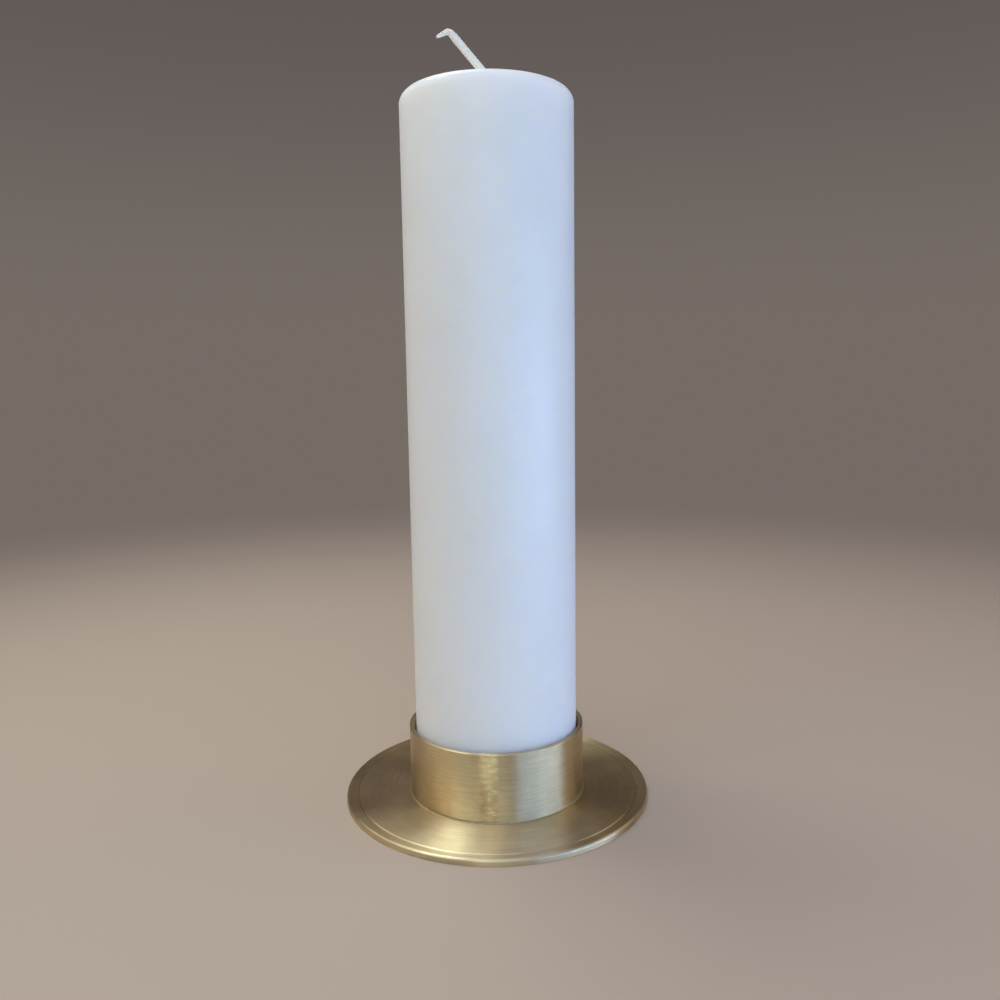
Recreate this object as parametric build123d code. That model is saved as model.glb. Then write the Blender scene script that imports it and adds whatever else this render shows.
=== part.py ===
"""Candle ring: a spun brass saucer with a soldered collar, holding a pillar candle.

Millimetres, +Z up. The origin is the middle of the saucer's foot, on the table.
The front, where the collar's seam shows, faces -Y. The wick leans towards -X.
"""
import os
from math import asin, atan2, cos, degrees, radians, sin, tan

from build123d import *

# Saucer: one disc of sheet, scored round, its rim spun up and turned down to stand on the cut edge
plate_radius = 56.5
sheet = 0.9
hollow_depth = 1.0
rim_band = 4.2
rim_rise = 0.4
score_depth = 0.25
score_run = 0.35
edge_bend = 0.9

# Candle: a cast pillar with a rounded shoulder and a slightly raised top
candle_radius = 30.0
candle_length = 250.0
candle_shoulder = 3.9
candle_crown = 0.9
candle_base_bevel = 1.0
wax_climb = 1.2
wax_spread = 2.0
wax_lip = 0.2

# Collar: a strip rolled to a ring round the candle, its ends brazed together
candle_clearance = 1.0
ring_wall = 1.5
ring_height = 25.0
ring_lip_bevel = 0.3
seam_width = 0.5
seam_azimuth = -95.3

# Solder that runs under the collar and stands out on both sides of it
solder_film = 0.1
solder_fillet = 0.5

# Wick: waxed braid down the middle of the candle, leaning over and hooked at its end
wick_radius = 1.4
wick_clearance = 0.05
wick_recess = 1.0
wick_rise = 5.7
wick_lean = 40.6
wick_lean_length = 19.0
wick_hook_drop = 24.5
wick_hook_length = 2.0
wick_root_bend = 6.0
wick_hook_bend = 2.2
wick_tip_length = 2.8
wick_tip_radius = 0.55

# Heights and radii that follow from the sizes above
field_top = hollow_depth + sheet
rim_top = field_top + rim_rise
ring_inner = candle_radius + candle_clearance
ring_outer = ring_inner + ring_wall
ring_base = field_top + solder_film
ring_top = ring_base + ring_height
wax_base = field_top
wax_top = wax_base + candle_length
wick_bore = wick_radius + wick_clearance


def section(*stops):
    """Face in the XZ plane whose arcs and points are joined in order by straight lines."""
    ends = [(s @ 0, s @ 1) if isinstance(s, Edge) else (Vector(s), Vector(s)) for s in stops]
    edges = [s for s in stops if isinstance(s, Edge)]
    for (_, end), (start, _) in zip(ends, ends[1:] + ends[:1]):
        if end != start:
            edges.append(Line(end, start))
    return Plane.XZ * make_face(edges)


def turned(face, start=0, arc=360):
    """The section turned round Z from the start azimuth through the arc, in degrees."""
    return Rot(Z=start) * revolve(face, Axis.Z, arc)


def base_plate():
    """Saucer of even sheet: flat field, scored line, rising rim, edge turned down over a bend."""
    score = Vector(plate_radius - rim_band, field_top - score_depth)
    bend = Vector(plate_radius - edge_bend, rim_top - edge_bend)
    # The rim runs up from the foot of the score and meets the bend without a corner
    reach = bend - score
    slope = atan2(reach.Y, reach.X) + asin(edge_bend / reach.length)
    # The underside keeps the sheet's thickness square to the rim, and is not scored
    under = score + Vector(sin(slope), -cos(slope)) * sheet
    inner = plate_radius - sheet
    return turned(section(
        (0, field_top),
        (score.X - score_run, field_top),
        score,
        CenterArc(bend, edge_bend, 90 + degrees(slope), -90 - degrees(slope)),
        (plate_radius, 0),
        (inner, 0),
        (inner, under.Y + (inner - under.X) * tan(slope)),
        (under.X + (hollow_depth - under.Y) / tan(slope), hollow_depth),
        (0, hollow_depth),
    ))


def ring_section():
    """Section of the collar's strip, with both edges of its lip broken."""
    bevel = ring_lip_bevel
    return section(
        (ring_inner, ring_base),
        (ring_outer, ring_base),
        (ring_outer, ring_top - bevel),
        (ring_outer - bevel, ring_top),
        (ring_inner + bevel, ring_top),
        (ring_inner, ring_top - bevel),
    )


def ring_band():
    """Rolled strip, open by the width of its seam."""
    seam_arc = degrees(seam_width / ring_outer)
    return turned(ring_section(), seam_azimuth + seam_arc / 2, 360 - seam_arc)


def seam_braze():
    """Filler that closes the seam, dressed flush with the strip."""
    seam_arc = degrees(seam_width / ring_outer)
    return turned(ring_section(), seam_azimuth - seam_arc / 2, seam_arc)


def foot_solder():
    """Thin film under the collar with a fillet along each side."""
    return turned(section(
        (ring_inner - solder_fillet, field_top),
        (ring_outer + solder_fillet, field_top),
        (ring_outer, ring_base + solder_fillet),
        (ring_outer, ring_base),
        (ring_inner, ring_base),
        (ring_inner, ring_base + solder_fillet),
    ))


def candle_wax():
    """Pillar with a wick bore right through it; the wax climbs the wick a little at the top."""
    edge_top = wax_top - candle_crown
    shoulder_centre = (candle_radius - candle_shoulder, edge_top - candle_shoulder)
    return turned(section(
        (wick_bore, wax_base),
        (candle_radius - candle_base_bevel, wax_base),
        (candle_radius, wax_base + candle_base_bevel),
        CenterArc(shoulder_centre, candle_shoulder, 0, 90),
        (wick_bore + wax_lip + wax_spread, wax_top),
        (wick_bore + wax_lip, wax_top + wax_climb),
        (wick_bore, wax_top + wax_climb),
    ))


def wick():
    """Round cord from near the candle's base, out at the top, leaning over to a tapered hook."""
    lean = Vector(-sin(radians(wick_lean)), 0, cos(radians(wick_lean)))
    drop = Vector(-cos(radians(wick_hook_drop)), 0, -sin(radians(wick_hook_drop)))
    root = Vector(0, 0, wax_base + wick_recess)
    knee = Vector(0, 0, wax_top + wick_rise)
    hook = knee + lean * wick_lean_length
    taper = hook + drop * wick_hook_length
    route = FilletPolyline(root, knee, hook, taper, radius=[wick_root_bend, wick_hook_bend])
    cord = sweep(Plane(root) * Circle(wick_radius), path=route)
    on_its_base = (Align.CENTER, Align.CENTER, Align.MIN)
    tip = Cone(wick_radius, wick_tip_radius, wick_tip_length, align=on_its_base)
    return cord + Plane(taper, x_dir=(0, 1, 0), z_dir=drop) * tip


pieces = {
    "base_plate": base_plate(),
    "ring_band": ring_band(),
    "seam_braze": seam_braze(),
    "foot_solder": foot_solder(),
    "candle_wax": candle_wax(),
    "wick": wick(),
}

os.makedirs("parts", exist_ok=True)
for name, shape in pieces.items():
    export_step(shape, f"parts/{name}.step")
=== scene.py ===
"""Candle ring: a spun brass saucer, a soldered collar and the white pillar candle that stands in it.

Sizes are named in millimetres and become metres where a mesh is made. +Z is up, the front faces -Y
and the wick leans towards -X.
"""
import math

import bmesh
import bpy
from mathutils import Matrix, Vector


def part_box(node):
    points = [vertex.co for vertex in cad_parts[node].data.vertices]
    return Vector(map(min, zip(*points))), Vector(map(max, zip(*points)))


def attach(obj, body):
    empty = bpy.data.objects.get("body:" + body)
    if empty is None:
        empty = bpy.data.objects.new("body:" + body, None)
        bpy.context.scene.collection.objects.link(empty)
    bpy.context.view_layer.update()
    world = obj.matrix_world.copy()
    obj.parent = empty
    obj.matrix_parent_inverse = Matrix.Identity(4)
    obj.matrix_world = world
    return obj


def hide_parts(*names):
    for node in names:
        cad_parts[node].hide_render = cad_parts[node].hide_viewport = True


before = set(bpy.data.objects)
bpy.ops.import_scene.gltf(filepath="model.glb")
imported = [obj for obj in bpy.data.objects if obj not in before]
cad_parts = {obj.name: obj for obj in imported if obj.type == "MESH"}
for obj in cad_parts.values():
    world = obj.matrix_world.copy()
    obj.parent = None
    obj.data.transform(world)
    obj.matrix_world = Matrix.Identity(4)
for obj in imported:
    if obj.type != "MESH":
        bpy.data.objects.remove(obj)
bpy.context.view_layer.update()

MM = 0.001

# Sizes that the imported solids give
_, plate_high = (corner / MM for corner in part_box("base_plate"))
candle_low, candle_high = (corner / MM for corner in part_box("candle_wax"))
band_low, band_high = (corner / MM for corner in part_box("ring_band"))
plate_radius = plate_high.x
rim_top = plate_high.z
candle_radius = candle_high.x
field_top = candle_low.z
ring_base = band_low.z
ring_top = band_high.z

# Saucer; its score is drawn a little deeper and wider than the solid's, so that it shows
sheet = 0.9
rim_band = 4.2
score_depth = 0.35
score_run = 0.5
score_round = 0.12
edge_bend = 0.9
cut_edge_round = 0.12
rim_under_round = 0.25
field_under_round = 0.6
dish_waviness = 0.05
dish_wave = 26.0
dish_hold = 0.75
score_radius = plate_radius - rim_band
score_floor = field_top - score_depth
field_edge = score_radius - score_run
field_under = field_top - sheet

# Collar and its seam; the waves in its wall are drawn out upwards
candle_clearance = 1.0
ring_wall = 1.5
lip_round = 0.32
ring_foot_round = 0.1
seam_width = 0.5
seam_azimuth = math.radians(-95.3)
seam_dip = 0.1
seam_dip_reach = 5.0
ring_waviness = 0.06
ring_wave = 10.0
ring_wave_stretch = 5.0
ring_inner = candle_radius + candle_clearance
ring_outer = ring_inner + ring_wall

# Solder round the collar's foot
solder_fillet = 0.5
solder_hollow_out = 0.15
solder_hollow_up = 0.1
solder_hollow_round = 0.4
solder_waviness = 0.09
solder_wave = 5.0

# Candle
candle_shoulder = 3.9
candle_crown = 0.9
candle_base_bevel = 1.0
wax_climb = 1.2
wax_spread = 2.0
wax_lip = 0.1
wick_bore = 1.45
wax_waviness = 0.06
wax_wave = 38.0
wax_top = candle_high.z - wax_climb

# Wick: its route, its narrowed tip and the braid on its skin
wick_radius = 1.4
wick_recess = 1.0
wick_rise = 5.7
wick_lean = math.radians(40.6)
wick_lean_length = 19.0
wick_hook_drop = math.radians(24.5)
wick_hook_length = 2.0
wick_tip_length = 2.8
wick_knee_ease = 5.0
wick_hook_ease = 3.6
wick_taper = 8.0
wick_tip_share = 0.42
wick_tip_round = 0.7
wick_end_share = 0.35
braid_strands = 5
braid_pitch = 8.0
braid_depth = 0.09
braid_step = 0.25
braid_sides = 36

# Patterns in the materials: sizes across, heights of what is raised, and shares
patch_size = 26.0
mark_core = 0.4
grit_climb = 0.6
grit_height = 0.015
seam_marks_core = 1.8
seam_marks_reach = 4.2
blotch_size = 1.6
blotch_wipe = 0.45
flush_start = ring_base + 8.0
flush_full = ring_top - 6.0
dimple_size = 0.8
dimple_height = 0.06
cloud_size = 18.0
draw_mark_size = 2.2
draw_mark_stretch = 30
draw_mark_height = 0.03
wax_depth = 14.0
soil_size = 3.0
nap_size = 0.4
nap_height = 0.01

# Floor, and the height that the lamps aim at
floor_radius = 6000.0
floor_sides = 96
floor_fade_start = 150.0
floor_fade_end = 900.0
lamp_aim = 60.0

# How finely bends are drawn, which edges stay sharp, and which points are welded
BEND_STEP = math.radians(9)
BEND_STEPS_LEAST = 3
BEND_GUARD = 0.12
CREASE = math.radians(35)
CAP_WELD = 0.001
POINT_WELD = 0.0001


def add(tree, kind, links=None, **settings):
    """Adds one node with its settings; links gives an input socket a value or another node's output."""
    node = tree.nodes.new(kind)
    for setting, value in settings.items():
        setattr(node, setting, value)
    for socket, value in (links or {}).items():
        if isinstance(value, bpy.types.NodeSocket):
            tree.links.new(value, node.inputs[socket])
        else:
            node.inputs[socket].default_value = value
    return node


def linear(code):
    """Linear RGBA of an sRGB hex colour."""
    parts = [int(code[i:i + 2], 16) / 255 for i in (1, 3, 5)]
    return (*[c / 12.92 if c <= 0.04045 else ((c + 0.055) / 1.055) ** 2.4 for c in parts], 1.0)


def rounded_section(corners):
    """Points of a section from corners (radius, height, bend), with each bend drawn as an arc."""
    outline = []
    for index, (radius, height, bend) in enumerate(corners):
        corner = Vector((radius, height))
        if not bend:
            outline.append(corner)
            continue
        before = (Vector(corners[index - 1][:2]) - corner).normalized()
        after = (Vector(corners[(index + 1) % len(corners)][:2]) - corner).normalized()
        turn = math.pi - before.angle(after)
        centre = corner + (before + after).normalized() * bend / math.cos(turn / 2)
        spoke = corner + before * bend * math.tan(turn / 2) - centre
        side = 1 if before.cross(after) < 0 else -1
        steps = max(BEND_STEPS_LEAST, math.ceil(turn / BEND_STEP))
        for step in range(steps + 1):
            outline.append(centre + Matrix.Rotation(side * turn * step / steps, 2) @ spoke)
    return outline


def divided(outline, run, closed):
    """The outline with straights longer than run divided, and a point near each end to keep bends crisp."""
    points = []
    following = outline[1:] + outline[:1] if closed else outline[1:]
    for start, end in zip(outline, following):
        points.append(start)
        length = (end - start).length
        if length > run:
            parts = math.ceil(length / run)
            guard = BEND_GUARD / length
            stops = [guard, *[part / parts for part in range(1, parts)], 1 - guard]
            points.extend(start.lerp(end, stop) for stop in stops)
    points.append(outline[0] if closed else outline[-1])
    return points


def new_tree(name, sizes):
    """Empty Geometry Nodes tree with a geometry in and out and the named inputs."""
    tree = bpy.data.node_groups.new(name, "GeometryNodeTree")
    tree.interface.new_socket("Geometry", in_out="OUTPUT", socket_type="NodeSocketGeometry")
    tree.interface.new_socket("Geometry", in_out="INPUT", socket_type="NodeSocketGeometry")
    for label, kind in sizes.items():
        tree.interface.new_socket(label, in_out="INPUT", socket_type=f"NodeSocket{kind}")
    return tree


def close_tree(tree, geometry, material):
    """Ends a tree in real geometry with its material."""
    real = add(tree, "GeometryNodeRealizeInstances", {0: geometry})
    dressed = add(tree, "GeometryNodeSetMaterial", {"Geometry": real.outputs[0], "Material": material})
    add(tree, "NodeGroupOutput", {0: dressed.outputs[0]})


def grown(name, points, edges, faces, tree, sizes):
    """Runs a tree on a mesh and returns the result as a plain closed mesh object at the origin."""
    source_mesh = bpy.data.meshes.new(f"{name}_source")
    source_mesh.from_pydata(points, edges, faces)
    source = bpy.data.objects.new(f"{name}_source", source_mesh)
    bpy.context.scene.collection.objects.link(source)
    modifier = source.modifiers.new(tree.name, "NODES")
    modifier.node_group = tree
    for socket in tree.interface.items_tree:
        if socket.in_out == "INPUT" and socket.name in sizes:
            modifier[socket.identifier] = sizes[socket.name]
    evaluated = source.evaluated_get(bpy.context.evaluated_depsgraph_get())
    mesh = bpy.data.meshes.new_from_object(evaluated)
    bpy.data.objects.remove(source)
    bpy.data.meshes.remove(source_mesh)
    mesh.name = name
    work = bmesh.new()
    work.from_mesh(mesh)
    bmesh.ops.remove_doubles(work, verts=work.verts, dist=POINT_WELD * MM)
    bmesh.ops.delete(work, geom=[v for v in work.verts if not v.link_faces], context="VERTS")
    bmesh.ops.recalc_face_normals(work, faces=work.faces)
    for face in work.faces:
        face.smooth = True
    for edge in work.edges:
        edge.smooth = edge.calc_face_angle(0) < CREASE
    work.to_mesh(mesh)
    work.free()
    piece = bpy.data.objects.new(name, mesh)
    bpy.context.scene.collection.objects.link(piece)
    return piece


def turned_tree():
    """Tree that turns a section round Z, with the small waviness of hand work."""
    tree = new_tree("turned_section", {
        "Stations": "Int",
        "Start": "Float",
        "Sweep": "Float",
        "Round Radius": "Float",
        "Round Waviness": "Float",
        "Round Wave": "Float",
        "Round Stretch": "Float",
        "Seam Dip": "Float",
        "Seam Reach": "Float",
        "Seam Azimuth": "Float",
        "Dish Radius": "Float",
        "Dish Hold": "Float",
        "Dish Waviness": "Float",
        "Dish Wave": "Float",
        "Seed": "Float",
        "Capped": "Bool",
        "Material": "Material",
    })
    given = add(tree, "NodeGroupInput").outputs

    # Skin: a grid with a row for each point of the section and a column for each station
    rows = add(tree, "GeometryNodeAttributeDomainSize", {0: given["Geometry"]}).outputs["Point Count"]
    columns = add(tree, "ShaderNodeMath", {0: given["Stations"], 1: 1.0}, operation="ADD").outputs[0]
    grid = add(tree, "GeometryNodeMeshGrid", {"Vertices X": rows, "Vertices Y": columns})
    index = add(tree, "GeometryNodeInputIndex").outputs[0]
    ratio = add(tree, "ShaderNodeMath", {0: index, 1: columns}, operation="DIVIDE").outputs[0]
    row = add(tree, "ShaderNodeMath", {0: ratio}, operation="FLOOR").outputs[0]
    column = add(tree, "ShaderNodeMath", {0: index, 1: columns}, operation="MODULO").outputs[0]
    sample = add(tree, "GeometryNodeSampleIndex", {
        "Geometry": given["Geometry"],
        "Value": add(tree, "GeometryNodeInputPosition").outputs[0],
        "Index": row,
    }, data_type="FLOAT_VECTOR", domain="POINT").outputs[0]
    section = add(tree, "ShaderNodeSeparateXYZ", {0: sample}).outputs
    share = add(tree, "ShaderNodeMath", {0: column, 1: given["Stations"]}, operation="DIVIDE").outputs[0]
    angle = add(tree, "ShaderNodeMath", {0: share, 1: given["Sweep"], 2: given["Start"]},
                operation="MULTIPLY_ADD").outputs[0]
    across = add(tree, "ShaderNodeMath", {0: angle}, operation="COSINE").outputs[0]
    along = add(tree, "ShaderNodeMath", {0: angle}, operation="SINE").outputs[0]
    spoke = add(tree, "ShaderNodeCombineXYZ", {0: across, 1: along}).outputs[0]
    swung = add(tree, "ShaderNodeVectorMath", {0: spoke, "Scale": section["X"]},
                operation="SCALE").outputs[0]
    raised = add(tree, "ShaderNodeCombineXYZ", {2: section["Z"]}).outputs[0]
    place = add(tree, "ShaderNodeVectorMath", {0: swung, 1: raised}, operation="ADD").outputs[0]
    skin = add(tree, "GeometryNodeSetPosition", {
        "Geometry": grid.outputs["Mesh"], "Position": place}).outputs[0]

    # End faces of a section that does not go all the way round; a full turn closes on itself
    caps = add(tree, "GeometryNodeJoinGeometry")
    for share_of_sweep in (0.0, 1.0):
        turn = add(tree, "ShaderNodeMath", {0: given["Sweep"], 1: share_of_sweep, 2: given["Start"]},
                   operation="MULTIPLY_ADD").outputs[0]
        spin = add(tree, "ShaderNodeCombineXYZ", {2: turn}).outputs[0]
        cap = add(tree, "GeometryNodeTransform", {
            "Geometry": given["Geometry"], "Rotation": spin}).outputs[0]
        tree.links.new(cap, caps.inputs[0])
    chosen = add(tree, "GeometryNodeSwitch", {"Switch": given["Capped"], "True": caps.outputs[0]},
                 input_type="GEOMETRY").outputs[0]
    whole = add(tree, "GeometryNodeJoinGeometry")
    tree.links.new(skin, whole.inputs[0])
    tree.links.new(chosen, whole.inputs[0])
    merged = add(tree, "GeometryNodeMergeByDistance", {
        "Geometry": whole.outputs[0], "Distance": CAP_WELD * MM}).outputs[0]

    # From here on each point moves by where it is, so that the end faces move with the skin
    here = add(tree, "GeometryNodeInputPosition").outputs[0]
    level = add(tree, "ShaderNodeVectorMath", {0: here, 1: (1, 1, 0)}, operation="MULTIPLY").outputs[0]
    outward = add(tree, "ShaderNodeVectorMath", {0: level}, operation="NORMALIZE").outputs[0]
    reach = add(tree, "ShaderNodeVectorMath", {0: level}, operation="LENGTH").outputs["Value"]
    rise = add(tree, "ShaderNodeSeparateXYZ", {0: here}).outputs["Z"]
    shift = add(tree, "ShaderNodeCombineXYZ", {2: given["Seed"]}).outputs[0]

    # Out of round: the same at the inside and outside of a wall, so the wall stays even
    slowed = add(tree, "ShaderNodeMath", {0: rise, 1: given["Round Stretch"]},
                 operation="DIVIDE").outputs[0]
    lifted = add(tree, "ShaderNodeCombineXYZ", {2: slowed}).outputs[0]
    wall = add(tree, "ShaderNodeVectorMath", {0: outward, "Scale": given["Round Radius"]},
               operation="SCALE").outputs[0]
    on_wall = add(tree, "ShaderNodeVectorMath", {0: wall, 1: lifted}, operation="ADD").outputs[0]
    pace = add(tree, "ShaderNodeMath", {0: 1.0, 1: given["Round Wave"]}, operation="DIVIDE").outputs[0]
    paced = add(tree, "ShaderNodeVectorMath", {0: on_wall, "Scale": pace}, operation="SCALE").outputs[0]
    seeded = add(tree, "ShaderNodeVectorMath", {0: paced, 1: shift}, operation="ADD").outputs[0]
    swell = add(tree, "ShaderNodeTexNoise", {"Vector": seeded, "Scale": 1.0, "Detail": 2.0}).outputs[0]
    centred = add(tree, "ShaderNodeMath", {0: swell, 1: 0.5}, operation="SUBTRACT").outputs[0]
    out_of_round = add(tree, "ShaderNodeMath", {0: centred, 1: given["Round Waviness"]},
                       operation="MULTIPLY").outputs[0]

    # The ends of a rolled strip stay a little flat beside the seam
    seam_across = add(tree, "ShaderNodeMath", {0: given["Seam Azimuth"]}, operation="COSINE").outputs[0]
    seam_along = add(tree, "ShaderNodeMath", {0: given["Seam Azimuth"]}, operation="SINE").outputs[0]
    seam_way = add(tree, "ShaderNodeCombineXYZ", {0: seam_across, 1: seam_along}).outputs[0]
    nearness = add(tree, "ShaderNodeVectorMath", {0: outward, 1: seam_way},
                   operation="DOT_PRODUCT").outputs["Value"]
    falling = add(tree, "ShaderNodeMath", {0: nearness, 1: 1.0}, operation="SUBTRACT").outputs[0]
    spread = add(tree, "ShaderNodeMath", {0: given["Round Radius"], 1: given["Seam Reach"]},
                 operation="DIVIDE").outputs[0]
    tight = add(tree, "ShaderNodeMath", {0: spread, 1: spread}, operation="MULTIPLY").outputs[0]
    power = add(tree, "ShaderNodeMath", {0: falling, 1: tight}, operation="MULTIPLY").outputs[0]
    flat = add(tree, "ShaderNodeMath", {0: power}, operation="EXPONENT").outputs[0]
    dip = add(tree, "ShaderNodeMath", {0: flat, 1: given["Seam Dip"]}, operation="MULTIPLY").outputs[0]
    swell_out = add(tree, "ShaderNodeMath", {0: out_of_round, 1: dip}, operation="SUBTRACT").outputs[0]

    # Dishing: both faces of the sheet rise and fall together, and the rim stays true
    dish_pace = add(tree, "ShaderNodeMath", {0: 1.0, 1: given["Dish Wave"]}, operation="DIVIDE").outputs[0]
    dished = add(tree, "ShaderNodeVectorMath", {0: level, "Scale": dish_pace}, operation="SCALE").outputs[0]
    started = add(tree, "ShaderNodeVectorMath", {0: dished, 1: shift}, operation="ADD").outputs[0]
    sway = add(tree, "ShaderNodeTexNoise", {"Vector": started, "Scale": 1.0, "Detail": 1.0}).outputs[0]
    middle = add(tree, "ShaderNodeMath", {0: sway, 1: 0.5}, operation="SUBTRACT").outputs[0]
    inner = add(tree, "ShaderNodeMath", {0: given["Dish Radius"], 1: given["Dish Hold"]},
                operation="MULTIPLY").outputs[0]
    hold = add(tree, "ShaderNodeMapRange", {
        "Value": reach, "From Min": inner, "From Max": given["Dish Radius"],
        "To Min": given["Dish Waviness"], "To Max": 0.0}, interpolation_type="SMOOTHSTEP").outputs[0]
    sag = add(tree, "ShaderNodeMath", {0: middle, 1: hold}, operation="MULTIPLY").outputs[0]

    sideways = add(tree, "ShaderNodeVectorMath", {0: outward, "Scale": swell_out},
                   operation="SCALE").outputs[0]
    upwards = add(tree, "ShaderNodeCombineXYZ", {2: sag}).outputs[0]
    offset = add(tree, "ShaderNodeVectorMath", {0: sideways, 1: upwards}, operation="ADD").outputs[0]
    worked = add(tree, "GeometryNodeSetPosition", {"Geometry": merged, "Offset": offset}).outputs[0]
    close_tree(tree, worked, given["Material"])
    return tree


TURNED = turned_tree()


def turned(name, corners, closed, run, stations, material, **sizes):
    """A piece turned from a section of corners (radius, height, bend) in millimetres.

    A straight of the section longer than run is divided, stations is the number of steps round the
    axis, and sizes sets any other input of the tree.
    """
    outline = divided(rounded_section(corners), run, closed)
    points = [(point.x * MM, 0.0, point.y * MM) for point in outline]
    faces = [tuple(range(len(points) - 1))] if closed else []
    settings = {
        "Stations": stations,
        "Start": 0.0,
        "Sweep": 2 * math.pi,
        "Round Radius": ring_outer * MM,
        "Round Waviness": 0.0,
        "Round Wave": 1.0,
        "Round Stretch": 1.0,
        "Seam Dip": 0.0,
        "Seam Reach": 1.0,
        "Seam Azimuth": seam_azimuth,
        "Dish Radius": 1.0,
        "Dish Hold": dish_hold,
        "Dish Waviness": 0.0,
        "Dish Wave": 1.0,
        "Seed": 0.0,
        "Capped": False,
        "Material": material,
    }
    settings.update({label.replace("_", " ").title(): value for label, value in sizes.items()})
    return grown(name, points, [], faces, TURNED, settings)


def new_material(name):
    """Material with a Principled shader; returns it with its tree, shader and position in millimetres."""
    material = bpy.data.materials.new(name)
    material.use_nodes = True
    tree = material.node_tree
    tree.nodes.clear()
    shader = add(tree, "ShaderNodeBsdfPrincipled")
    add(tree, "ShaderNodeOutputMaterial", {"Surface": shader.outputs[0]})
    place = add(tree, "ShaderNodeTexCoord").outputs["Object"]
    scaled = add(tree, "ShaderNodeVectorMath", {0: place, "Scale": 1 / MM}, operation="SCALE").outputs[0]
    return material, tree, shader, scaled


def satin_brass(name, bright, dull, grain, streak, patch_shift, marked_edges, seam_marks):
    """Brass brushed round and round with abrasive cloth, then left bare.

    The fine scratches run round the axis, so highlights stretch across them: up the collar and
    out along the saucer. Handling has dulled it unevenly and rubbed the edges bright. Grain and
    streak are a scratch's spacing and length, and each marked edge is (radius, height, width,
    colour, share).
    """
    material, tree, shader, place = new_material(name)
    flat = add(tree, "ShaderNodeVectorMath", {0: place, 1: (1, 1, 0)}, operation="MULTIPLY").outputs[0]
    spoke = add(tree, "ShaderNodeVectorMath", {0: flat}, operation="NORMALIZE").outputs[0]
    radius = add(tree, "ShaderNodeVectorMath", {0: flat}, operation="LENGTH").outputs["Value"]
    height = add(tree, "ShaderNodeSeparateXYZ", {0: place}).outputs["Z"]

    # Grit lines: real ones are about 0.1 mm apart, drawn coarser so that they show
    travel = add(tree, "ShaderNodeMath", {0: height, 1: grit_climb, 2: radius},
                 operation="MULTIPLY_ADD").outputs[0]
    lines = add(tree, "ShaderNodeMath", {0: travel, 1: grain}, operation="DIVIDE").outputs[0]
    drawn = add(tree, "ShaderNodeVectorMath", {0: spoke, "Scale": ring_outer / streak},
                operation="SCALE").outputs[0]
    stacked = add(tree, "ShaderNodeCombineXYZ", {2: lines}).outputs[0]
    brushed = add(tree, "ShaderNodeVectorMath", {0: drawn, 1: stacked}, operation="ADD").outputs[0]
    grit = add(tree, "ShaderNodeTexNoise", {
        "Vector": brushed, "Scale": 1.0, "Detail": 3.0, "Roughness": 0.6}).outputs[0]

    # Dull patches, tens of millimetres across, shifted to lie where the piece shows them
    shifted = add(tree, "ShaderNodeMapping", {"Vector": place, "Location": (0, 0, patch_shift)}).outputs[0]
    patches = add(tree, "ShaderNodeTexNoise", {
        "Vector": shifted, "Scale": 1 / patch_size, "Detail": 3.0, "Roughness": 0.55}).outputs[0]
    dulled = add(tree, "ShaderNodeMapRange", {
        "Value": patches, "From Min": 0.38, "From Max": 0.66, "To Min": 0.0, "To Max": 0.8}).outputs[0]
    colour = add(tree, "ShaderNodeMix", {0: dulled, 6: linear(bright), 7: linear(dull)},
                 data_type="RGBA").outputs[2]
    tone = add(tree, "ShaderNodeMapRange", {
        "Value": grit, "From Min": 0.3, "From Max": 0.7, "To Min": 0.88, "To Max": 1.06}).outputs[0]
    toned = add(tree, "ShaderNodeMix", {0: 1.0, 6: colour, 7: tone}, data_type="RGBA",
                blend_type="MULTIPLY").outputs[2]
    relief = grit

    if seam_marks:
        toned, relief = seam_dressing(tree, toned, relief, place, flat, spoke, height)

    # Edges rubbed bright, and the colour darkened in a thin line along the floor of the score
    for edge_radius, edge_height, width, mark, share in marked_edges:
        out = add(tree, "ShaderNodeMath", {0: radius, 1: edge_radius}, operation="SUBTRACT").outputs[0]
        up = add(tree, "ShaderNodeMath", {0: height, 1: edge_height}, operation="SUBTRACT").outputs[0]
        away = add(tree, "ShaderNodeCombineXYZ", {0: out, 1: up}).outputs[0]
        distance = add(tree, "ShaderNodeVectorMath", {0: away}, operation="LENGTH").outputs["Value"]
        marked = add(tree, "ShaderNodeMapRange", {
            "Value": distance, "From Min": width * mark_core, "From Max": width,
            "To Min": share, "To Max": 0.0}).outputs[0]
        toned = add(tree, "ShaderNodeMix", {0: marked, 6: toned, 7: linear(mark)},
                    data_type="RGBA").outputs[2]
    tree.links.new(toned, shader.inputs["Base Color"])

    worn = add(tree, "ShaderNodeMapRange", {
        "Value": grit, "From Min": 0.25, "From Max": 0.75, "To Min": 0.36, "To Max": 0.44}).outputs[0]
    tree.links.new(worn, shader.inputs["Roughness"])
    bump = add(tree, "ShaderNodeBump", {
        "Height": relief, "Strength": 1.0, "Distance": grit_height * MM}).outputs[0]
    tree.links.new(bump, shader.inputs["Normal"])

    # Tangent across the scratches
    round_way = add(tree, "ShaderNodeVectorMath", {0: (0, 0, 1), 1: spoke},
                    operation="CROSS_PRODUCT").outputs[0]
    normal = add(tree, "ShaderNodeNewGeometry").outputs["Normal"]
    upward = add(tree, "ShaderNodeVectorMath", {0: normal, 1: round_way},
                 operation="CROSS_PRODUCT").outputs[0]
    tree.links.new(upward, shader.inputs["Tangent"])
    shader.inputs["Metallic"].default_value = 1.0
    shader.inputs["Anisotropic"].default_value = 0.92
    return material


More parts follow.
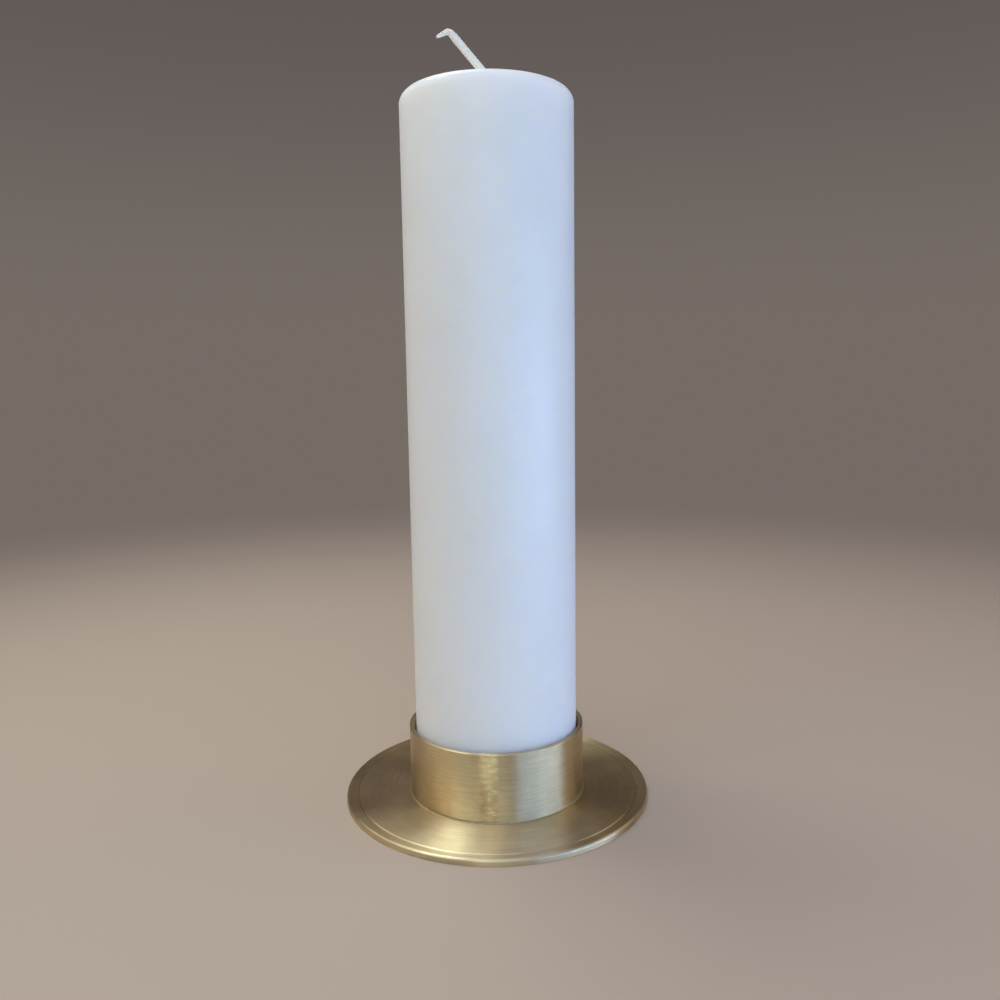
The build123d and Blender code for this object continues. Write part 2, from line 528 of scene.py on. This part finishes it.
def seam_dressing(tree, colour, relief, place, flat, spoke, height):
    """Marks of the brazed seam: a yellow flush near the lip, pale specks, brown scale low down, dimples."""
    facing = (math.cos(seam_azimuth), math.sin(seam_azimuth), 0)
    sideways = (-math.sin(seam_azimuth), math.cos(seam_azimuth), 0)
    front = add(tree, "ShaderNodeVectorMath", {0: spoke, 1: facing},
                operation="DOT_PRODUCT").outputs["Value"]
    side = add(tree, "ShaderNodeVectorMath", {0: flat, 1: sideways},
               operation="DOT_PRODUCT").outputs["Value"]
    shown = add(tree, "ShaderNodeMath", {0: front, 1: 0.0}, operation="GREATER_THAN").outputs[0]
    apart = add(tree, "ShaderNodeMath", {0: side}, operation="ABSOLUTE").outputs[0]
    near = add(tree, "ShaderNodeMapRange", {
        "Value": apart, "From Min": seam_marks_core, "From Max": seam_marks_reach,
        "To Min": 1.0, "To Max": 0.0}, interpolation_type="SMOOTHSTEP").outputs[0]
    zone = add(tree, "ShaderNodeMath", {0: near, 1: shown}, operation="MULTIPLY").outputs[0]

    # Blotches about 1.5 mm tall, wiped sideways by the brushing
    wiped = add(tree, "ShaderNodeVectorMath", {0: place, 1: (blotch_wipe, blotch_wipe, 1.0)},
                operation="MULTIPLY").outputs[0]
    blotch = add(tree, "ShaderNodeTexNoise", {
        "Vector": wiped, "Scale": 1 / blotch_size, "Detail": 2.0, "Roughness": 0.5}).outputs[0]

    # Yellow flush of filler, strongest near the lip
    upper = add(tree, "ShaderNodeMapRange", {
        "Value": height, "From Min": flush_start, "From Max": flush_full,
        "To Min": 0.05, "To Max": 1.0}, interpolation_type="SMOOTHSTEP").outputs[0]
    cloud = add(tree, "ShaderNodeMapRange", {
        "Value": blotch, "From Min": 0.3, "From Max": 0.7, "To Min": 0.2, "To Max": 1.0}).outputs[0]
    strength = add(tree, "ShaderNodeMath", {0: upper, 1: cloud}, operation="MULTIPLY").outputs[0]
    flush = add(tree, "ShaderNodeMath", {0: strength, 1: zone}, operation="MULTIPLY").outputs[0]
    yellowed = add(tree, "ShaderNodeMix", {0: flush, 6: colour, 7: linear("#F8EAAE")},
                   data_type="RGBA").outputs[2]

    # Pale specks where the brushing has rubbed what stands proud
    speck = add(tree, "ShaderNodeMapRange", {
        "Value": blotch, "From Min": 0.5, "From Max": 0.75, "To Min": 0.0, "To Max": 0.75}).outputs[0]
    specks = add(tree, "ShaderNodeMath", {0: speck, 1: zone}, operation="MULTIPLY").outputs[0]
    lit = add(tree, "ShaderNodeMix", {0: specks, 6: yellowed, 7: linear("#F6EBC4")},
              data_type="RGBA").outputs[2]

    # Brown scale from the torch, left in the hollows and low down
    lower = add(tree, "ShaderNodeMath", {0: 1.0, 1: upper}, operation="SUBTRACT").outputs[0]
    hollow = add(tree, "ShaderNodeMapRange", {
        "Value": blotch, "From Min": 0.25, "From Max": 0.75, "To Min": 0.6, "To Max": 0.15}).outputs[0]
    scale = add(tree, "ShaderNodeMath", {0: hollow, 1: lower}, operation="MULTIPLY").outputs[0]
    scales = add(tree, "ShaderNodeMath", {0: scale, 1: zone}, operation="MULTIPLY").outputs[0]
    browned = add(tree, "ShaderNodeMix", {0: scales, 6: lit, 7: linear("#9A7E54")},
                  data_type="RGBA").outputs[2]

    # Dimples of the same blotches, added to the grit lines
    dent = add(tree, "ShaderNodeMath", {0: blotch, 1: 0.5}, operation="MULTIPLY").outputs[0]
    dimpled = add(tree, "ShaderNodeMath", {0: dent, 1: zone, 2: relief}, operation="MULTIPLY_ADD").outputs[0]
    return browned, dimpled


def filed_solder(name):
    """Soft solder, dressed with a file: duller than the brass, and dimpled where it cooled."""
    material, tree, shader, place = new_material(name)
    dimples = add(tree, "ShaderNodeTexNoise", {
        "Vector": place, "Scale": 1 / dimple_size, "Detail": 2.0, "Roughness": 0.5}).outputs[0]
    colour = add(tree, "ShaderNodeMix", {0: dimples, 6: linear("#98865F"), 7: linear("#BCAC84")},
                 data_type="RGBA").outputs[2]
    tree.links.new(colour, shader.inputs["Base Color"])
    rough = add(tree, "ShaderNodeMapRange", {"Value": dimples, "To Min": 0.42, "To Max": 0.58}).outputs[0]
    tree.links.new(rough, shader.inputs["Roughness"])
    bump = add(tree, "ShaderNodeBump", {
        "Height": dimples, "Strength": 0.8, "Distance": dimple_height * MM}).outputs[0]
    tree.links.new(bump, shader.inputs["Normal"])
    shader.inputs["Metallic"].default_value = 1.0
    return material


def cast_wax(name):
    """White paraffin wax, cast in a polished mould: soft gloss, light that sinks in, faint clouding."""
    material, tree, shader, place = new_material(name)
    clouds = add(tree, "ShaderNodeTexNoise", {
        "Vector": place, "Scale": 1 / cloud_size, "Detail": 4.0, "Roughness": 0.55}).outputs[0]
    colour = add(tree, "ShaderNodeMix", {0: clouds, 6: linear("#F6F6F2"), 7: linear("#EEEDE7")},
                 data_type="RGBA").outputs[2]
    tree.links.new(colour, shader.inputs["Base Color"])

    # Draw marks from the mould run up the candle
    drawn = add(tree, "ShaderNodeVectorMath", {0: place, 1: (1, 1, 1 / draw_mark_stretch)},
                operation="MULTIPLY").outputs[0]
    marks = add(tree, "ShaderNodeTexNoise", {
        "Vector": drawn, "Scale": 1 / draw_mark_size, "Detail": 3.0, "Roughness": 0.6}).outputs[0]
    rough = add(tree, "ShaderNodeMapRange", {"Value": marks, "To Min": 0.34, "To Max": 0.44}).outputs[0]
    tree.links.new(rough, shader.inputs["Roughness"])
    bump = add(tree, "ShaderNodeBump", {
        "Height": marks, "Strength": 0.6, "Distance": draw_mark_height * MM}).outputs[0]
    tree.links.new(bump, shader.inputs["Normal"])
    shader.inputs["IOR"].default_value = 1.44
    shader.inputs["Subsurface Weight"].default_value = 1.0
    shader.inputs["Subsurface Radius"].default_value = (1.0, 0.85, 0.65)
    shader.inputs["Subsurface Scale"].default_value = wax_depth * MM
    return material


def waxed_cotton(name):
    """Braided cotton yarn primed with wax: creamy white, with painted shade between the strands, matt."""
    material, tree, shader, place = new_material(name)
    weave = add(tree, "ShaderNodeAttribute", attribute_name="weave").outputs["Fac"]
    soil = add(tree, "ShaderNodeTexNoise", {
        "Vector": place, "Scale": 1 / soil_size, "Detail": 3.0, "Roughness": 0.6}).outputs[0]
    cream = add(tree, "ShaderNodeMix", {0: soil, 6: linear("#FFFAEA"), 7: linear("#FBF2DE")},
                data_type="RGBA").outputs[2]
    # Painted shade: the colour is darkened a little between the strands, where the crossing strands shade
    # the grooves
    painted_groove_shade = add(tree, "ShaderNodeMapRange", {"Value": weave, "To Min": 0.95, "To Max": 1.0}).outputs[0]
    colour = add(tree, "ShaderNodeMix", {0: 1.0, 6: cream, 7: painted_groove_shade}, data_type="RGBA",
                 blend_type="MULTIPLY").outputs[2]
    tree.links.new(colour, shader.inputs["Base Color"])

    # Yarn: real fibres are about 0.02 mm, drawn as a nap of 0.4 mm so that they show close up
    nap = add(tree, "ShaderNodeTexNoise", {
        "Vector": place, "Scale": 1 / nap_size, "Detail": 2.0, "Roughness": 0.5}).outputs[0]
    bump = add(tree, "ShaderNodeBump", {
        "Height": nap, "Strength": 0.1, "Distance": nap_height * MM}).outputs[0]
    tree.links.new(bump, shader.inputs["Normal"])
    shader.inputs["Roughness"].default_value = 0.7
    shader.inputs["IOR"].default_value = 1.47
    shader.inputs["Sheen Weight"].default_value = 0.2
    return material


def wick_tree():
    """Tree that makes a round cord along the wick's route, with crossing strands raised on its skin."""
    tree = new_tree("braided_wick", {
        "Wick Radius": "Float",
        "Sides": "Int",
        "Step": "Float",
        "Strands": "Int",
        "Pitch": "Float",
        "Weave Depth": "Float",
        "Tip Length": "Float",
        "Tip Share": "Float",
        "Tip Round": "Float",
        "End Share": "Float",
        "Material": "Material",
    })
    given = add(tree, "NodeGroupInput").outputs
    route = add(tree, "GeometryNodeMeshToCurve", {0: given["Geometry"]}).outputs[0]
    line = add(tree, "GeometryNodeResampleCurve", {"Curve": route, "Length": given["Step"]},
               mode="LENGTH").outputs[0]

    # The cord narrows along its tip and is rounded off at its end
    spline = add(tree, "GeometryNodeSplineParameter").outputs
    total = add(tree, "GeometryNodeSplineLength").outputs["Length"]
    left = add(tree, "ShaderNodeMath", {0: total, 1: spline["Length"]}, operation="SUBTRACT").outputs[0]
    narrowing = add(tree, "ShaderNodeMapRange", {
        "Value": left, "From Min": 0.0, "From Max": given["Tip Length"],
        "To Min": given["Tip Share"], "To Max": 1.0}, interpolation_type="SMOOTHSTEP").outputs[0]
    rounding = add(tree, "ShaderNodeMapRange", {
        "Value": left, "From Min": 0.0, "From Max": given["Tip Round"],
        "To Min": given["End Share"], "To Max": 1.0}, interpolation_type="SMOOTHSTEP").outputs[0]
    taper = add(tree, "ShaderNodeMath", {0: narrowing, 1: rounding}, operation="MULTIPLY").outputs[0]
    measured = add(tree, "GeometryNodeStoreNamedAttribute", {
        "Geometry": line, "Name": "along", "Value": spline["Length"]},
        data_type="FLOAT", domain="POINT").outputs[0]
    slimmed = add(tree, "GeometryNodeStoreNamedAttribute", {
        "Geometry": measured, "Name": "slim", "Value": taper},
        data_type="FLOAT", domain="POINT").outputs[0]
    circle = add(tree, "GeometryNodeCurvePrimitiveCircle", {
        "Resolution": given["Sides"], "Radius": given["Wick Radius"]}).outputs[0]
    ring = add(tree, "GeometryNodeStoreNamedAttribute", {
        "Geometry": circle, "Name": "around", "Value": spline["Factor"]},
        data_type="FLOAT", domain="POINT").outputs[0]
    cord = add(tree, "GeometryNodeCurveToMesh", {
        "Curve": slimmed, "Profile Curve": ring, "Scale": taper, "Fill Caps": True}).outputs[0]

    # Two sets of strands wind opposite ways; where they cross, each goes over and under by turns
    along = add(tree, "GeometryNodeInputNamedAttribute", {"Name": "along"}, data_type="FLOAT").outputs[0]
    around = add(tree, "GeometryNodeInputNamedAttribute", {"Name": "around"}, data_type="FLOAT").outputs[0]
    turns = add(tree, "ShaderNodeMath", {0: along, 1: given["Pitch"]}, operation="DIVIDE").outputs[0]
    waves = []
    crowns = []
    for way in ("ADD", "SUBTRACT"):
        wound = add(tree, "ShaderNodeMath", {0: around, 1: turns}, operation=way).outputs[0]
        count = add(tree, "ShaderNodeMath", {0: wound, 1: given["Strands"]}, operation="MULTIPLY").outputs[0]
        angle = add(tree, "ShaderNodeMath", {0: count, 1: math.pi}, operation="MULTIPLY").outputs[0]
        wave = add(tree, "ShaderNodeMath", {0: angle}, operation="SINE").outputs[0]
        waves.append(wave)
        crowns.append(add(tree, "ShaderNodeMath", {0: wave, 1: wave}, operation="MULTIPLY").outputs[0])
    ridges = []
    for crown, crossing in (crowns, crowns[::-1]):
        dive = add(tree, "ShaderNodeMath", {0: 2.0, 1: crossing}, operation="SUBTRACT").outputs[0]
        ends = add(tree, "ShaderNodeMath", {0: crossing, 1: dive}, operation="MULTIPLY").outputs[0]
        ridges.append(add(tree, "ShaderNodeMath", {0: crown, 1: ends}, operation="MULTIPLY").outputs[0])
    parity = add(tree, "ShaderNodeMath", {0: waves[0], 1: waves[1]}, operation="MULTIPLY").outputs[0]
    over = add(tree, "ShaderNodeMath", {0: parity, 1: 0.0}, operation="GREATER_THAN").outputs[0]
    weave = add(tree, "ShaderNodeMix", {0: over, 2: ridges[1], 3: ridges[0]}, data_type="FLOAT").outputs[0]

    # The skin sinks between the strands, less so where the cord is slim
    kept = add(tree, "GeometryNodeStoreNamedAttribute", {
        "Geometry": cord, "Name": "weave", "Value": weave}, data_type="FLOAT", domain="POINT").outputs[0]
    sunk = add(tree, "ShaderNodeMath", {0: weave, 1: 1.0}, operation="SUBTRACT").outputs[0]
    slim = add(tree, "GeometryNodeInputNamedAttribute", {"Name": "slim"}, data_type="FLOAT").outputs[0]
    relief = add(tree, "ShaderNodeMath", {0: slim, 1: given["Weave Depth"]}, operation="MULTIPLY").outputs[0]
    depth = add(tree, "ShaderNodeMath", {0: sunk, 1: relief}, operation="MULTIPLY").outputs[0]
    outward = add(tree, "GeometryNodeInputNormal").outputs[0]
    offset = add(tree, "ShaderNodeVectorMath", {0: outward, "Scale": depth}, operation="SCALE").outputs[0]
    braided = add(tree, "GeometryNodeSetPosition", {"Geometry": kept, "Offset": offset}).outputs[0]
    close_tree(tree, braided, given["Material"])
    return tree


def wick_route():
    """Points and edges of the wick's line, read from a smooth spline along its route."""
    lean = Vector((-math.sin(wick_lean), 0, math.cos(wick_lean)))
    drop = Vector((-math.cos(wick_hook_drop), 0, -math.sin(wick_hook_drop)))
    knee = Vector((0, 0, wax_top + wick_rise))
    hook = knee + lean * wick_lean_length
    taper = hook + drop * wick_hook_length
    controls = [
        Vector((0, 0, field_top + wick_recess)),
        knee - Vector((0, 0, wick_knee_ease)),
        knee,
        knee + lean * wick_knee_ease,
        hook - lean * wick_hook_ease,
        hook,
        taper,
        taper + drop * wick_tip_length,
    ]
    curve = bpy.data.curves.new("wick_route", "CURVE")
    curve.dimensions = "3D"
    curve.resolution_u = 16
    spline = curve.splines.new("NURBS")
    spline.points.add(len(controls) - 1)
    for point, place in zip(spline.points, controls):
        point.co = (*(place * MM), 1.0)
    spline.use_endpoint_u = True
    spline.order_u = 3
    route = bpy.data.objects.new("wick_route", curve)
    bpy.context.scene.collection.objects.link(route)
    evaluated = route.evaluated_get(bpy.context.evaluated_depsgraph_get())
    line = bpy.data.meshes.new_from_object(evaluated)
    points = [v.co.copy() for v in line.vertices]
    edges = [tuple(e.vertices) for e in line.edges]
    bpy.data.objects.remove(route)
    bpy.data.meshes.remove(line)
    return points, edges


# Materials
rubbed_brass = "#EADBB6"
# Darker colour for a thin line along the floor of the score, and how far out from the score's floor that
# line is centred
score_darkening = "#6E5A3A"
rim_crown = 0.35 * edge_bend
score_darkening_shift = 0.05
spun_brass = satin_brass(
    "satin_brass_spun",
    bright="#E6D4AA",
    dull="#C4AE88",
    grain=0.45,
    streak=12.0,
    patch_shift=4810,
    marked_edges=[
        (plate_radius - rim_crown, rim_top - rim_crown, 0.7, rubbed_brass, 0.4),
        (score_radius + score_darkening_shift, score_floor, 0.22, score_darkening, 0.3),
    ],
    seam_marks=False,
)
rolled_brass = satin_brass(
    "satin_brass_rolled",
    bright="#E6D4AA",
    dull="#C4AE88",
    grain=0.4,
    streak=9.0,
    patch_shift=2450,
    marked_edges=[
        (ring_outer, ring_top, 0.6, rubbed_brass, 0.2),
        (ring_inner, ring_top, 0.5, rubbed_brass, 0.2),
    ],
    seam_marks=True,
)
brazed_brass = satin_brass(
    "satin_brass_brazing",
    bright="#EADAAA",
    dull="#CCB88A",
    grain=0.4,
    streak=9.0,
    patch_shift=2450,
    marked_edges=[],
    seam_marks=True,
)
soft_solder = filed_solder("soft_solder_filed")
wax = cast_wax("paraffin_wax_cast")
cotton = waxed_cotton("cotton_braid_waxed")

# Saucer: the rim's slope meets the bend without a corner, and the sheet stays even under it
bend_out = plate_radius - edge_bend - score_radius
bend_up = rim_top - edge_bend - score_floor
rim_slope = math.atan2(bend_up, bend_out) + math.asin(edge_bend / math.hypot(bend_out, bend_up))
under_radius = score_radius + sheet * math.sin(rim_slope)
under_height = score_floor - sheet * math.cos(rim_slope)
inner_radius = plate_radius - sheet
rim_under = under_height + (inner_radius - under_radius) * math.tan(rim_slope)
field_under_edge = under_radius + (field_under - under_height) / math.tan(rim_slope)
saucer = turned(
    "saucer",
    [
        (0, field_top, 0),
        (field_edge, field_top, score_round),
        (score_radius, score_floor, score_round),
        (plate_radius, score_floor + rim_band * math.tan(rim_slope), edge_bend),
        (plate_radius, 0, cut_edge_round),
        (inner_radius, 0, cut_edge_round),
        (inner_radius, rim_under, rim_under_round),
        (field_under_edge, field_under, field_under_round),
        (0, field_under, 0),
    ],
    closed=False,
    run=2.0,
    stations=224,
    material=spun_brass,
    dish_radius=field_edge * MM,
    dish_waviness=2 * dish_waviness * MM,
    dish_wave=dish_wave * MM,
    seed=3.7,
)

# Collar and the filler in its seam
band_corners = [
    (ring_inner, ring_base, ring_foot_round),
    (ring_outer, ring_base, ring_foot_round),
    (ring_outer, ring_top, lip_round),
    (ring_inner, ring_top, lip_round),
]
band_waves = {
    "round_waviness": 2 * ring_waviness * MM,
    "round_wave": ring_wave * MM,
    "round_stretch": ring_wave_stretch,
    "seam_dip": seam_dip * MM,
    "seam_reach": seam_dip_reach * MM,
    "seed": 1.3,
}
seam_arc = seam_width / ring_outer
collar = turned(
    "collar",
    band_corners,
    closed=True,
    run=1.5,
    stations=300,
    material=rolled_brass,
    start=seam_azimuth + seam_arc / 2,
    sweep=2 * math.pi - seam_arc,
    capped=True,
    **band_waves,
)
seam = turned(
    "collar_seam",
    band_corners,
    closed=True,
    run=0.6,
    stations=6,
    material=brazed_brass,
    start=seam_azimuth - seam_arc / 2,
    sweep=seam_arc,
    capped=True,
    **band_waves,
)

# Solder round the collar's foot, hollowed between saucer and collar
solder_top = ring_base + solder_fillet
hollow_height = ring_base + solder_hollow_up
solder = turned(
    "collar_foot_solder",
    [
        (ring_inner - solder_fillet, field_top, 0),
        (ring_outer + solder_fillet, field_top, 0),
        (ring_outer + solder_hollow_out, hollow_height, solder_hollow_round),
        (ring_outer, solder_top, 0),
        (ring_outer, ring_base, 0),
        (ring_inner, ring_base, 0),
        (ring_inner, solder_top, 0),
        (ring_inner - solder_hollow_out, hollow_height, solder_hollow_round),
    ],
    closed=True,
    run=1.0,
    stations=240,
    material=soft_solder,
    round_waviness=2 * solder_waviness * MM,
    round_wave=solder_wave * MM,
    seed=5.1,
)

# Candle with its wick bore and the wax that climbs the wick
base_round = candle_base_bevel / 2
candle = turned(
    "candle",
    [
        (wick_bore, field_top, 0),
        (candle_radius - base_round, field_top, base_round),
        (candle_radius, field_top + base_round, base_round),
        (candle_radius, wax_top - candle_crown, candle_shoulder),
        (wick_bore + wax_spread, wax_top, wax_spread),
        (wick_bore + wax_lip, wax_top + wax_climb, 0),
        (wick_bore, wax_top + wax_climb, 0),
    ],
    closed=True,
    run=4.0,
    stations=160,
    material=wax,
    round_radius=candle_radius * MM,
    round_waviness=2 * wax_waviness * MM,
    round_wave=wax_wave * MM,
    seed=8.2,
)

# Wick
wick_points, wick_edges = wick_route()
wick = grown("wick_braid", wick_points, wick_edges, [], wick_tree(), {
    "Wick Radius": wick_radius * MM,
    "Sides": braid_sides,
    "Step": braid_step * MM,
    "Strands": braid_strands,
    "Pitch": braid_pitch * MM,
    "Weave Depth": braid_depth * MM,
    "Tip Length": wick_taper * MM,
    "Tip Share": wick_tip_share,
    "Tip Round": wick_tip_round * MM,
    "End Share": wick_end_share,
    "Material": cotton,
})

for piece, body, node, slot in (
    (saucer, "holder", "base_plate", "brushed_brass"),
    (collar, "holder", "ring_band", "brushed_brass"),
    (seam, "holder", "seam_braze", "filler_metal"),
    (solder, "holder", "foot_solder", "filler_metal"),
    (candle, "candle", "candle_wax", "white_wax"),
    (wick, "candle", "wick", "waxed_cotton"),
):
    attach(piece, body)
    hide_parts(node)

# Floor: a plain pale board that fades into the backdrop's colour with distance
backdrop_near = linear("#756C66")
backdrop_high = linear("#605957")
floor_mesh = bpy.data.meshes.new("floor")
floor_work = bmesh.new()
bmesh.ops.create_circle(floor_work, cap_ends=True, segments=floor_sides, radius=floor_radius * MM)
floor_work.to_mesh(floor_mesh)
floor_work.free()
floor = bpy.data.objects.new("floor", floor_mesh)
bpy.context.scene.collection.objects.link(floor)
floor_material = bpy.data.materials.new("matt_board")
floor_material.use_nodes = True
floor_tree = floor_material.node_tree
floor_tree.nodes.clear()
floor_place = add(floor_tree, "ShaderNodeTexCoord").outputs["Object"]
floor_reach = add(floor_tree, "ShaderNodeVectorMath", {0: floor_place}, operation="LENGTH").outputs["Value"]
floor_fade = add(floor_tree, "ShaderNodeMapRange", {
    "Value": floor_reach, "From Min": floor_fade_start * MM, "From Max": floor_fade_end * MM},
    interpolation_type="SMOOTHERSTEP").outputs[0]
floor_board = add(floor_tree, "ShaderNodeBsdfDiffuse", {"Color": linear("#C0AE9A")}).outputs[0]
floor_far = add(floor_tree, "ShaderNodeEmission", {"Color": backdrop_near}).outputs[0]
floor_mix = add(floor_tree, "ShaderNodeMixShader", {0: floor_fade, 1: floor_board, 2: floor_far}).outputs[0]
add(floor_tree, "ShaderNodeOutputMaterial", {"Surface": floor_mix})
floor_mesh.materials.append(floor_material)

# Backdrop: mid-tone at the horizon and darker above it, under a pale ceiling; heights are sines
wall_fade_start = 0.05
wall_fade_end = 0.40
ceiling_start = 0.84
ceiling_full = 0.92
ceiling_strength = 1.05
ceiling = [ceiling_strength * part for part in linear("#DFD6FF")]
world = bpy.data.worlds.new("studio")
bpy.context.scene.world = world
world.use_nodes = True
sky_tree = world.node_tree
sky_tree.nodes.clear()
sky_way = add(sky_tree, "ShaderNodeTexCoord").outputs["Generated"]
sky_height = add(sky_tree, "ShaderNodeSeparateXYZ", {0: sky_way}).outputs["Z"]
sky_fade = add(sky_tree, "ShaderNodeMapRange", {
    "Value": sky_height, "From Min": wall_fade_start, "From Max": wall_fade_end},
    interpolation_type="SMOOTHSTEP").outputs[0]
sky_wall = add(sky_tree, "ShaderNodeMix", {0: sky_fade, 6: backdrop_near, 7: backdrop_high},
               data_type="RGBA").outputs[2]
sky_lift = add(sky_tree, "ShaderNodeMapRange", {
    "Value": sky_height, "From Min": ceiling_start, "From Max": ceiling_full},
    interpolation_type="SMOOTHSTEP").outputs[0]
sky_colour = add(sky_tree, "ShaderNodeMix", {0: sky_lift, 6: sky_wall, 7: ceiling},
                 data_type="RGBA").outputs[2]
sky = add(sky_tree, "ShaderNodeBackground", {"Color": sky_colour, "Strength": 1.0}).outputs[0]
add(sky_tree, "ShaderNodeOutputWorld", {"Surface": sky})


def softbox(name, azimuth, elevation, distance, width, height, brightness, tint):
    """Area lamp aimed at the candle above the collar; its distance, width and height are in metres.

    The azimuth is from the front towards +X, and it and the elevation are in degrees.
    """
    turn = math.radians(azimuth)
    rise = math.radians(elevation)
    way = Vector((math.sin(turn) * math.cos(rise), -math.cos(turn) * math.cos(rise), math.sin(rise)))
    lamp = bpy.data.lights.new(name, "AREA")
    lamp.shape = "RECTANGLE"
    lamp.size = width
    lamp.size_y = height
    lamp.energy = brightness * math.pi * width * height
    lamp.color = linear(tint)[:3]
    stand = bpy.data.objects.new(name, lamp)
    stand.rotation_mode = "QUATERNION"
    stand.rotation_quaternion = way.to_track_quat("Z", "Y")
    stand.location = way * distance + Vector((0, 0, lamp_aim * MM))
    stand.visible_camera = False
    bpy.context.scene.collection.objects.link(stand)


# Lamps: cool light low from the right, a lamp high behind on the left, and pale fills all round
softbox("ceiling_lamp", -133, 67, 1.0, 0.40, 0.28, 7.4, "#F0FFF9")
softbox("front_top", -10, 54, 1.0, 0.70, 0.40, 0.8, "#F6FFFA")
softbox("window_near", 38, 1.3, 0.9, 0.50, 0.16, 8.6, "#92C0FF")
softbox("window_far", 70, 1.3, 0.9, 0.56, 0.16, 10.6, "#A6CAFF")
softbox("right_fill", 106, 32, 0.9, 0.50, 0.50, 0.7, "#FFF2D8")
softbox("left_near", -45, 40, 0.9, 0.45, 0.50, 1.8, "#CEECFF")
softbox("left_middle", -72, 40, 0.9, 0.45, 0.50, 1.1, "#FEF6FF")
softbox("left_far", -98, 42, 0.9, 0.45, 0.50, 0.95, "#FFF8EA")
softbox("left_back", -124, 36, 0.9, 0.26, 0.26, 1.4, "#FFFAF0")
softbox("behind_left", -165, 25, 0.9, 0.40, 0.40, 0.11, "#FFEEF0")
softbox("front_fill", 2, 16, 1.2, 0.70, 0.70, 1.1, "#BEE4FF")
softbox("front_strip", -11, 28, 0.9, 0.18, 0.32, 2.5, "#FCF8F6")

# Camera at the photograph's angle: close to the candle and a little above its middle
camera_place = Vector((0, -324.1, 155.2)) * MM
camera_yaw = math.radians(0.47)
camera_pitch = math.radians(7.84)
camera_roll = math.radians(-0.85)
look = Vector((math.sin(camera_yaw) * math.cos(camera_pitch),
               math.cos(camera_yaw) * math.cos(camera_pitch), -math.sin(camera_pitch)))
level_right = look.cross(Vector((0, 0, 1))).normalized()
level_up = level_right.cross(look)
right = math.cos(camera_roll) * level_right + math.sin(camera_roll) * level_up
up = math.cos(camera_roll) * level_up - math.sin(camera_roll) * level_right
lens = bpy.data.cameras.new("camera")
lens.sensor_width = 36.0
lens.lens = 32.256
lens.clip_start = 0.01
camera = bpy.data.objects.new("camera", lens)
camera.matrix_world = Matrix.Translation(camera_place) @ Matrix((right, up, -look)).transposed().to_4x4()
bpy.context.scene.collection.objects.link(camera)
bpy.context.scene.camera = camera
bpy.context.scene.view_settings.view_transform = "Standard"
